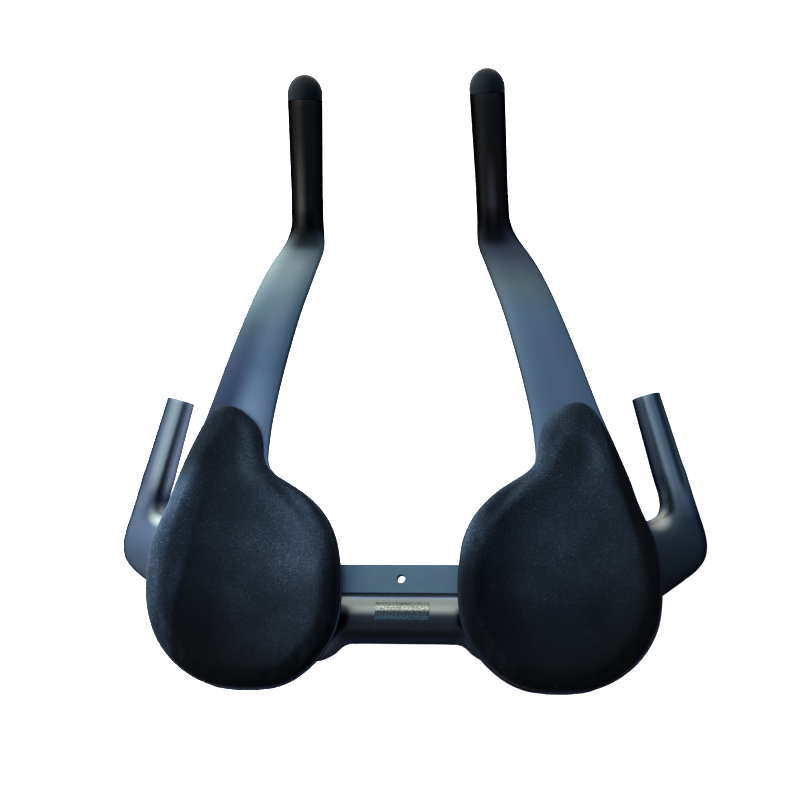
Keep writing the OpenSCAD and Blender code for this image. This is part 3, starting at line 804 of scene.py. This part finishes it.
        # painted highlight and shade, changing with the angle round the tube
        grit = mix(nt, map_range(nt, an, math.radians(58), math.radians(64), 0, 1), (0.12, 0.125, 0.12), (0.255, 0.275, 0.25))
        grit = mix(nt, map_range(nt, an, math.radians(69), math.radians(77), 0, 1), grit, (0.021, 0.029, 0.036))
        grit = mix(nt, map_range(nt, an, math.radians(84), math.radians(88), 0, 1), grit, (0.026, 0.046, 0.066))
        col = mix(nt, on, col, mix(nt, 1.0, grit, speck, "MULTIPLY"))
        r = math_node(nt, "ADD", r, math_node(nt, "MULTIPLY", on, 0.08))
        h = math_node(nt, "ADD", h, math_node(nt, "MULTIPLY", on, math_node(nt, "MULTIPLY", vo.outputs["Distance"], 6.0)))
    nt.links.new(col, bs.inputs["Base Color"])
    nt.links.new(r, bs.inputs["Roughness"])
    bs.inputs["Metallic"].default_value = 1.0
    bs.inputs["Specular Tint"].default_value = (0.16, 0.2, 0.34, 1)
    bump(nt, bs, h, 0.05, 0.0006)
    return m


def knit_fabric(name):
    """Brushed nylon knit over foam: near black, with a dull sheen, fine loops, a little lint, and painted light and
    shade across the pads.
    """
    m, nt, bs, co = material(name)
    v = co.outputs["Object"]
    w1 = nt.nodes.new("ShaderNodeTexWave")
    w1.bands_direction = "X"
    w1.inputs["Scale"].default_value = 360
    w1.inputs["Distortion"].default_value = 2.5
    w1.inputs["Detail"].default_value = 1
    w2 = nt.nodes.new("ShaderNodeTexWave")
    w2.bands_direction = "Y"
    w2.inputs["Scale"].default_value = 360
    w2.inputs["Distortion"].default_value = 2.5
    w2.inputs["Detail"].default_value = 1
    nt.links.new(v, w1.inputs["Vector"])
    nt.links.new(v, w2.inputs["Vector"])
    loops = math_node(nt, "MULTIPLY", w1.outputs["Fac"], w2.outputs["Fac"])
    fuzz = noise(nt, v, 850, 4, 0.8)
    cloudy = noise(nt, v, 26, 4, 0.6)
    t = math_node(nt, "ADD", math_node(nt, "MULTIPLY", loops, 0.06), math_node(nt, "ADD", math_node(nt, "MULTIPLY", fuzz, 0.62), math_node(nt, "MULTIPLY", cloudy, 0.35)))
    col = ramp(nt, t, [(0.36, (0.0040, 0.0066, 0.0106)), (0.52, (0.0100, 0.0155, 0.0232)), (0.68, (0.028, 0.041, 0.058))])
    vo = nt.nodes.new("ShaderNodeTexVoronoi")
    vo.inputs["Scale"].default_value = 170
    vo.inputs["Randomness"].default_value = 1
    nt.links.new(v, vo.inputs["Vector"])
    lint = math_node(nt, "LESS_THAN", vo.outputs["Distance"], 0.045)
    few = math_node(nt, "GREATER_THAN", noise(nt, v, 75, 1), 0.62)
    lint = math_node(nt, "MULTIPLY", lint, few)
    # painted light and shade: the pads are darker towards the elbows and lighter or darker across each pad as the
    # light falls on its dish
    s = nt.nodes.new("ShaderNodeSeparateXYZ")
    nt.links.new(v, s.inputs[0])
    grey = lambda *st: [(p, (c, c, c)) for p, c in st]
    x, y = s.outputs[0], s.outputs[1]
    fy = ramp(nt, math_node(nt, "MULTIPLY", math_node(nt, "ADD", y, 0.04), 1 / 0.16, clamp=True), grey((0.03, 0.075), (0.27, 0.36), (0.58, 1.0), (1.0, 0.95)))
    # the outline leans inwards to the front, so the left side is read along that lean
    lean = math_node(nt, "MULTIPLY", math_node(nt, "MAXIMUM", math_node(nt, "SUBTRACT", y, 0.007), 0.0), 0.28)
    xs = math_node(nt, "SUBTRACT", x, math_node(nt, "MULTIPLY", lean, math_node(nt, "LESS_THAN", x, 0.0)))
    fl = ramp(nt, math_node(nt, "MULTIPLY", math_node(nt, "ADD", xs, 0.17), 1 / 0.13, clamp=True), grey((0.04, 0.95), (0.12, 0.80), (0.19, 0.27), (0.35, 0.24), (0.54, 0.50), (0.70, 0.66), (0.86, 0.62), (0.95, 0.26)))
    # painted light on the left pad's nose, lighter towards its inner edge
    nose = map_range(nt, x, -0.109, -0.094, 0.18, 1.0)
    fl = mix(nt, map_range(nt, y, 0.075, 0.100, 0, 1), fl, mix(nt, nose, (0.0, 0.0, 0.0), (1.0, 1.0, 1.0)))
    # painted highlight along the crest of the left pad's outer rim
    rim = math_node(nt, "MULTIPLY", map_range(nt, xs, -0.1435, -0.1495, 0, 1), map_range(nt, y, 0.050, 0.020, 0, 1))
    rim = math_node(nt, "MULTIPLY", rim, map_range(nt, xs, -0.1640, -0.1605, 0, 1))
    fl = mix(nt, rim, fl, (1.15, 1.15, 1.2))
    # painted light and shade across the right pad
    fr = ramp(nt, math_node(nt, "MULTIPLY", math_node(nt, "ADD", x, -0.04), 1 / 0.13, clamp=True), grey((0.05, 0.70), (0.12, 0.62), (0.19, 0.38), (0.33, 0.50), (0.50, 0.62), (0.68, 0.28), (0.85, 0.20), (0.94, 0.06)))
    nose = ramp(nt, math_node(nt, "MULTIPLY", math_node(nt, "SUBTRACT", x, 0.1), 1 / 0.035, clamp=True), grey((0.11, 0.66), (0.47, 0.27), (0.83, 0.78)))
    fr = mix(nt, map_range(nt, y, 0.075, 0.100, 0, 1), fr, nose)
    # painted shade along the right pad's outer edge
    xr = math_node(nt, "ADD", x, math_node(nt, "MULTIPLY", math_node(nt, "MAXIMUM", math_node(nt, "SUBTRACT", y, 0.007), 0.0), 0.28))
    fr = mix(nt, map_range(nt, xr, 0.1590, 0.1625, 0, 1), fr, (0.07, 0.07, 0.07))
    # painted shade at the inner rear of the right pad
    rim = math_node(nt, "MULTIPLY", map_range(nt, x, 0.062, 0.050, 0, 1), map_range(nt, y, 0.050, 0.020, 0, 1))
    fr = mix(nt, rim, fr, (0.16, 0.16, 0.16))
    fx = mix(nt, 1.0, mix(nt, math_node(nt, "GREATER_THAN", x, 0.0), fl, fr), (1.6, 1.6, 1.6), "MULTIPLY")
    col = mix(nt, 1.0, col, mix(nt, 1.0, fx, fy, "MULTIPLY"), "MULTIPLY")
    pills = map_range(nt, noise(nt, v, 1250, 1), 0.60, 0.72, 0, 1)
    col = mix(nt, pills, col, mix(nt, 1.0, col, (2.6, 2.5, 2.4), "MULTIPLY"))
    col = mix(nt, math_node(nt, "MULTIPLY", lint, 0.7), col, (0.08, 0.11, 0.14))
    nt.links.new(col, bs.inputs["Base Color"])
    r = map_range(nt, fuzz, 0.3, 0.7, 0.7, 0.86)
    nt.links.new(r, bs.inputs["Roughness"])
    bs.inputs["Specular IOR Level"].default_value = 0.05
    bs.inputs["Sheen Weight"].default_value = 0.04
    bs.inputs["Sheen Roughness"].default_value = 0.35
    bs.inputs["Sheen Tint"].default_value = (0.55, 0.62, 0.75, 1)
    h = math_node(nt, "ADD", math_node(nt, "MULTIPLY", loops, 0.25), math_node(nt, "MULTIPLY", fuzz, 1.1))
    bump(nt, bs, h, 0.6, 0.00035)
    return m


def simple(name, dark, light, rough, metallic=0.0, scale=300, spec=0.5, bump_d=0.0001, stretch=None):
    m, nt, bs, co = material(name)
    v = co.outputs["Object"]
    if stretch:
        mp = nt.nodes.new("ShaderNodeMapping")
        mp.inputs["Scale"].default_value = stretch
        nt.links.new(v, mp.inputs["Vector"])
        v = mp.outputs[0]
    f = noise(nt, v, scale, 3, 0.6)
    g = noise(nt, v, scale / 14, 2)
    t = math_node(nt, "ADD", math_node(nt, "MULTIPLY", f, 0.5), math_node(nt, "MULTIPLY", g, 0.5))
    nt.links.new(ramp(nt, t, [(0.32, dark), (0.68, light)]), bs.inputs["Base Color"])
    nt.links.new(map_range(nt, f, 0.3, 0.7, max(0.05, rough - 0.05), rough + 0.05), bs.inputs["Roughness"])
    bs.inputs["Metallic"].default_value = metallic
    bs.inputs["Specular IOR Level"].default_value = spec
    bump(nt, bs, f, 0.25, bump_d)
    return m


BAR_MAT = satin_carbon("satin_carbon_bar", (0.085, 0.108, 0.142), (0.108, 0.134, 0.170), 0.36, bar=True)
EXT_MAT = satin_carbon("satin_carbon_extension", (0.1056, 0.1568, 0.216), (0.1376, 0.1984, 0.264), 0.38)
PAD_MAT = knit_fabric("knit_cover")
HOOK_MAT = simple("hook_tape", (0.006, 0.007, 0.009), (0.02, 0.022, 0.026), 0.85, scale=1400, bump_d=0.0004)
RUBBER_MAT = simple("plug_rubber", (0.0026, 0.0042, 0.0058), (0.0046, 0.0070, 0.0090), 0.5, metallic=0.35, scale=500, spec=0.06)
BRIDGE_MAT = simple("bead_blasted_anodising", (0.036, 0.065, 0.092), (0.049, 0.084, 0.116), 0.5, metallic=0.9, scale=1100, bump_d=0.00012)
RISER_MAT = simple("riser_anodising", (0.02, 0.024, 0.03), (0.035, 0.042, 0.05), 0.45, metallic=0.8, scale=1100)
BOLT_MAT = simple("black_oxide", (0.012, 0.012, 0.014), (0.03, 0.03, 0.034), 0.35, metallic=0.8, scale=900)
STEEL_MAT = simple("stainless", (0.42, 0.42, 0.43), (0.58, 0.58, 0.6), 0.3, metallic=1.0, scale=700, stretch=(1, 6, 1))
BRASS_MAT = simple("insert_brass", (0.42, 0.33, 0.16), (0.56, 0.45, 0.24), 0.35, metallic=1.0, scale=700)


def dress(ob, mat):
    ob.data.materials.clear()
    ob.data.materials.append(mat)


def piece(ob, node, mat):
    dress(ob, mat)
    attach(ob, "root")
    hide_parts(node)


# ---------------------------------------------------------------- camera
CAM_LOC = (0.0696, -0.09437, 0.76932)
cam_data = bpy.data.cameras.new("camera")
cam = bpy.data.objects.new("camera", cam_data)
SCENE.collection.objects.link(cam)
RIGHT, UP, BACK = (0.99564, 0.01915, -0.09126), (0.00995, 0.95130, 0.30812), (0.09271, -0.30769, 0.94696)
rot = Matrix((RIGHT, UP, BACK)).transposed()
cam.matrix_world = Matrix.Translation(CAM_LOC) @ rot.to_4x4()
cam_data.sensor_fit = "HORIZONTAL"
cam_data.sensor_width = 36
cam_data.lens = 51.165
cam_data.clip_start, cam_data.clip_end = 0.01, 50
cam_data.dof.use_dof = False
SCENE.camera = cam

# ---------------------------------------------------------------- pieces
piece(base_bar(), "base_bar", BAR_MAT)
for side in ("left", "right"):
    piece(extension(side), side + "_extension", EXT_MAT)
    piece(end_plug(side), side + "_end_plug", RUBBER_MAT)
    pad = arm_pad(side)
    piece(pad, side + "_arm_pad", PAD_MAT)

KEPT = {"bridge_plate": (BRIDGE_MAT, "anodised", 0.18)}
for side in ("left", "right"):
    KEPT[side + "_riser_base"] = (RISER_MAT, "anodised", 0.15)
    KEPT[side + "_riser_spacer"] = (RISER_MAT, "anodised", 0.2)
    KEPT[side + "_tilt_wedge"] = (RISER_MAT, "anodised", 0.05)
    KEPT[side + "_riser_bolts"] = (BOLT_MAT, "black_steel", 0.12)
    KEPT[side + "_bolt_washers"] = (STEEL_MAT, "steel", 0.1)
    KEPT[side + "_bar_inserts"] = (BRASS_MAT, "insert_metal", 0.1)
    KEPT[side + "_pad_hook_patches"] = (HOOK_MAT, "hook_tape", 0)
for node, (mat, slot_name, bevel) in KEPT.items():
    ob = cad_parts[node]
    if not ob.material_slots:
        ob.data.materials.append(mat)
    for ms in ob.material_slots:
        ms.material = mat
    w = ob.modifiers.new("weld", "WELD")
    w.merge_threshold = 0.000005
    if bevel:
        b = ob.modifiers.new("edge", "BEVEL")
        b.width = bevel * MM
        b.segments = 2
        b.limit_method = "ANGLE"
        b.angle_limit = math.radians(32)
        b.use_clamp_overlap = True
        b.harden_normals = True

# ---------------------------------------------------------------- floor
FLOOR_Z = CAD_BOX[0][2] - 0.0002
fm, fnt, fbs, fco = material("floor_paper")
fv = fco.outputs["Object"]
fnt.links.new(ramp(fnt, noise(fnt, fv, 3, 2), [(0.3, (0.87, 0.88, 0.89)), (0.7, (0.90, 0.905, 0.91))]), fbs.inputs["Base Color"])
fbs.inputs["Roughness"].default_value = 0.9
fbs.inputs["Specular IOR Level"].default_value = 0.1
fbs.inputs["Emission Color"].default_value = (1.0, 1.0, 1.0, 1)
fbs.inputs["Emission Strength"].default_value = 1.0
# seen from below the floor is clear, so that the underside can be looked at
fgeo = fnt.nodes.new("ShaderNodeNewGeometry")
fclear = fnt.nodes.new("ShaderNodeBsdfTransparent")
fmix = fnt.nodes.new("ShaderNodeMixShader")
fout = [nd for nd in fnt.nodes if nd.type == "OUTPUT_MATERIAL"][0]
fnt.links.new(fgeo.outputs["Backfacing"], fmix.inputs[0])
fnt.links.new(fbs.outputs[0], fmix.inputs[1])
fnt.links.new(fclear.outputs[0], fmix.inputs[2])
fnt.links.new(fmix.outputs[0], fout.inputs[0])
fme = bpy.data.meshes.new("floor")
S = 6.0
fme.from_pydata([(-S, -S, FLOOR_Z), (S, -S, FLOOR_Z), (S, S, FLOOR_Z), (-S, S, FLOOR_Z)], [], [(0, 1, 2, 3)])
floor = bpy.data.objects.new("floor", fme)
SCENE.collection.objects.link(floor)
fme.materials.append(fm)
floor.visible_glossy = floor.visible_diffuse = False
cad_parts["bridge_plate"].visible_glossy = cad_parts["bridge_plate"].visible_shadow = False


# ---------------------------------------------------------------- light
def area(name, loc, aim, size, power, color):
    d = bpy.data.lights.new(name, "AREA")
    d.shape = "RECTANGLE"
    d.size, d.size_y = size
    d.energy = power
    d.color = color
    o = bpy.data.objects.new(name, d)
    SCENE.collection.objects.link(o)
    o.location = loc
    o.rotation_mode = "QUATERNION"
    o.rotation_quaternion = (Vector(aim) - Vector(loc)).to_track_quat("-Z", "Y")
    return o


key = area("key_left", (-0.80, 0.22, 0.27), (0, 0.05, 0.03), (0.5, 0.35), 52, (0.90, 0.97, 1.0))
key.visible_glossy = False

world = bpy.data.worlds.new("studio")
SCENE.world = world
world.use_nodes = True
wn = world.node_tree
for nd in list(wn.nodes):
    wn.nodes.remove(nd)
wo = wn.nodes.new("ShaderNodeOutputWorld")
bg = wn.nodes.new("ShaderNodeBackground")
wn.links.new(bg.outputs[0], wo.inputs[0])
tc = wn.nodes.new("ShaderNodeTexCoord")


def lobe(direction, lo, hi, color):
    """A soft bright patch of the studio, brightest towards direction."""
    d = wn.nodes.new("ShaderNodeVectorMath")
    d.operation = "DOT_PRODUCT"
    d.inputs[1].default_value = tuple(unit(direction))
    wn.links.new(tc.outputs["Generated"], d.inputs[0])
    return mix(wn, map_range(wn, d.outputs["Value"], lo, hi, 0, 1), (0.0, 0.0, 0.0), color)


light = lobe((0, 0, 1), -0.25, 0.35, (0.02, 0.024, 0.03))
for L in [((-0.35, 0.90, 0.30), 0.25, 0.95, (2.3, 2.35, 2.2)),
          ((-0.80, 0.15, 0.55), 0.40, 0.95, (1.75, 1.8, 1.75)),
          ((0.18, 0.12, 0.97), 0.35, 1.0, (0.85, 1.0, 1.15)),
          ((-0.10, 0.70, -0.72), 0.84, 1.0, (5.0, 5.0, 4.8)),
          ((0, -1, 0.1), 0.1, 0.95, (0.05, 0.052, 0.06)),
          ((0, 0, -1), 0.0, 0.8, (0.026, 0.040, 0.085)),
          ((1, 0.2, 0.0), 0.2, 1.0, (0.34, 0.42, 0.60))]:
    light = mix(wn, 1.0, light, lobe(*L), "ADD")
lp = wn.nodes.new("ShaderNodeLightPath")
light = mix(wn, lp.outputs["Is Diffuse Ray"], light, mix(wn, 1.0, light, (0.35, 0.37, 0.40), "MULTIPLY"))
wn.links.new(mix(wn, lp.outputs["Is Camera Ray"], light, (1.0, 1.0, 1.0)), bg.inputs["Color"])
bg.inputs["Strength"].default_value = 1.0

SCENE.view_settings.view_transform = "Standard"
SCENE.view_settings.look = "None"
SCENE.view_settings.exposure = 0.0
SCENE.view_settings.gamma = 1.0

bpy.context.view_layer.update()
